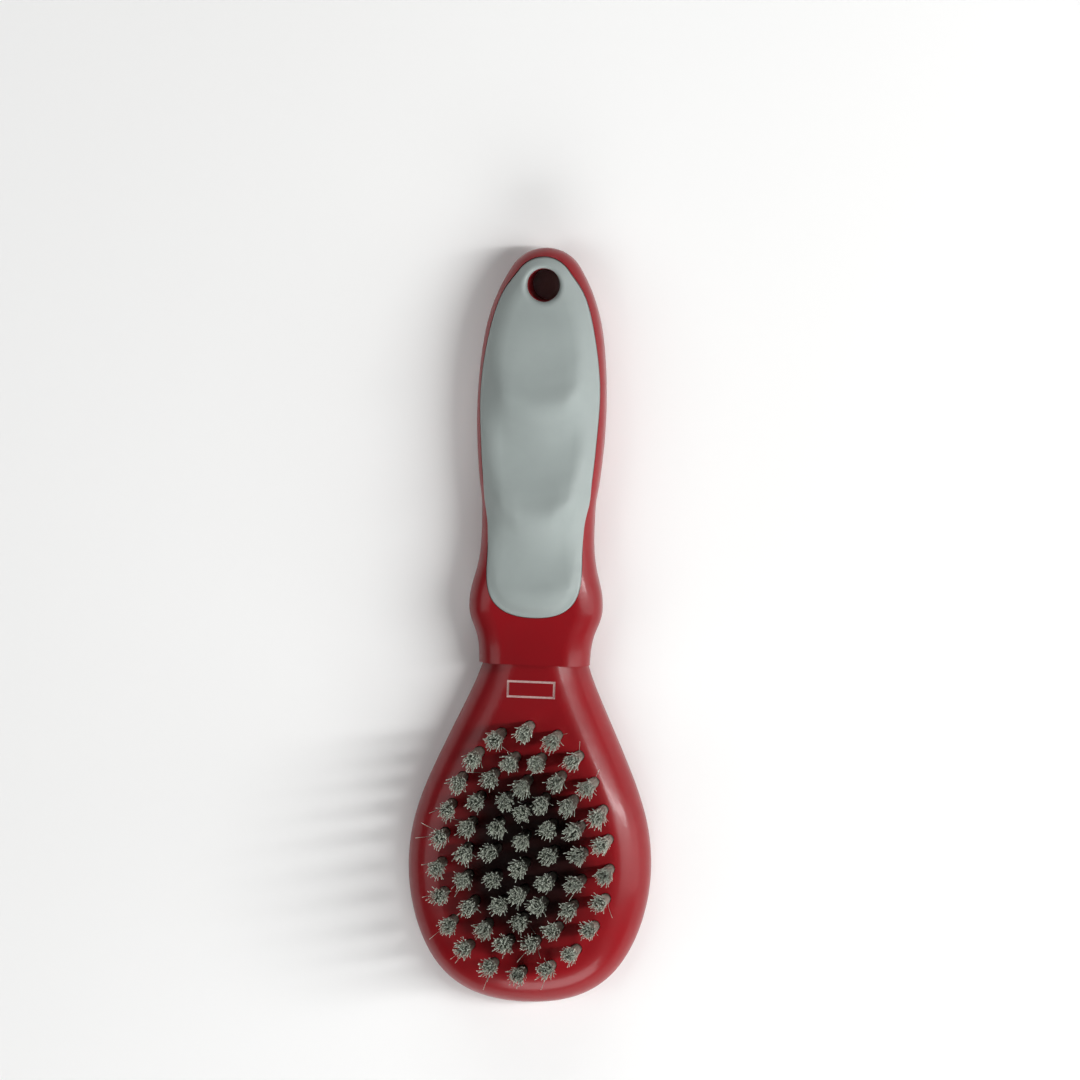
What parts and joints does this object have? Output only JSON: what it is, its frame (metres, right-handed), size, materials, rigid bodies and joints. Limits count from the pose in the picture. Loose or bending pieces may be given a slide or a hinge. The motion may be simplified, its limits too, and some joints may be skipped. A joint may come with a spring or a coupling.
{
  "type": "bristle brush",
  "caption": "One-hand pet bristle brush: an egg-shaped head of pale bristle tufts on a comfort handle with a soft finger-hollowed grip and a hanging hole.",
  "frame": {"origin": "on the resting plane below the middle of the brush's length and width", "axes": "+Z out of the bristle face, +Y up the handle, X across; the brush lies on its back"},
  "size_m": [0.066, 0.205, 0.0315],
  "materials": {
    "red_plastic": "satin gloss",
    "soft_grip": "matt, very fine grain",
    "bristle": "bundles of thin translucent filaments",
    "anchor_wire": "flat drawn wire",
    "inner_plastic": "as moulded"
  },
  "bodies": {
    "root": {"bristle_block": "red_plastic", "head_back_cover": "red_plastic", "handle_shell": "red_plastic", "grip_carrier": "inner_plastic", "comfort_grip": "soft_grip", "tuft_anchors": "anchor_wire", "centre_tufts": "bristle", "outer_tuft_01": "bristle", "outer_tuft_02": "bristle", "outer_tuft_03": "bristle", "outer_tuft_04": "bristle", "outer_tuft_05": "bristle", "outer_tuft_06": "bristle", "outer_tuft_07": "bristle", "outer_tuft_08": "bristle", "outer_tuft_09": "bristle", "outer_tuft_10": "bristle", "outer_tuft_11": "bristle", "outer_tuft_12": "bristle", "outer_tuft_13": "bristle", "outer_tuft_14": "bristle", "outer_tuft_15": "bristle", "outer_tuft_16": "bristle", "outer_tuft_17": "bristle", "outer_tuft_18": "bristle", "outer_tuft_19": "bristle", "outer_tuft_20": "bristle", "outer_tuft_21": "bristle", "outer_tuft_22": "bristle", "middle_tuft_01": "bristle", "middle_tuft_02": "bristle", "middle_tuft_03": "bristle", "middle_tuft_04": "bristle", "middle_tuft_05": "bristle", "middle_tuft_06": "bristle", "middle_tuft_07": "bristle", "middle_tuft_08": "bristle", "middle_tuft_09": "bristle", "middle_tuft_10": "bristle", "middle_tuft_11": "bristle", "middle_tuft_12": "bristle", "middle_tuft_13": "bristle", "middle_tuft_14": "bristle", "middle_tuft_15": "bristle", "middle_tuft_16": "bristle", "middle_tuft_17": "bristle", "middle_tuft_18": "bristle", "inner_tuft_01": "bristle", "inner_tuft_02": "bristle", "inner_tuft_03": "bristle", "inner_tuft_04": "bristle", "inner_tuft_05": "bristle", "inner_tuft_06": "bristle", "inner_tuft_07": "bristle", "inner_tuft_08": "bristle", "inner_tuft_09": "bristle", "inner_tuft_10": "bristle", "inner_tuft_11": "bristle", "inner_tuft_12": "bristle"}
  },
  "joints": []
}
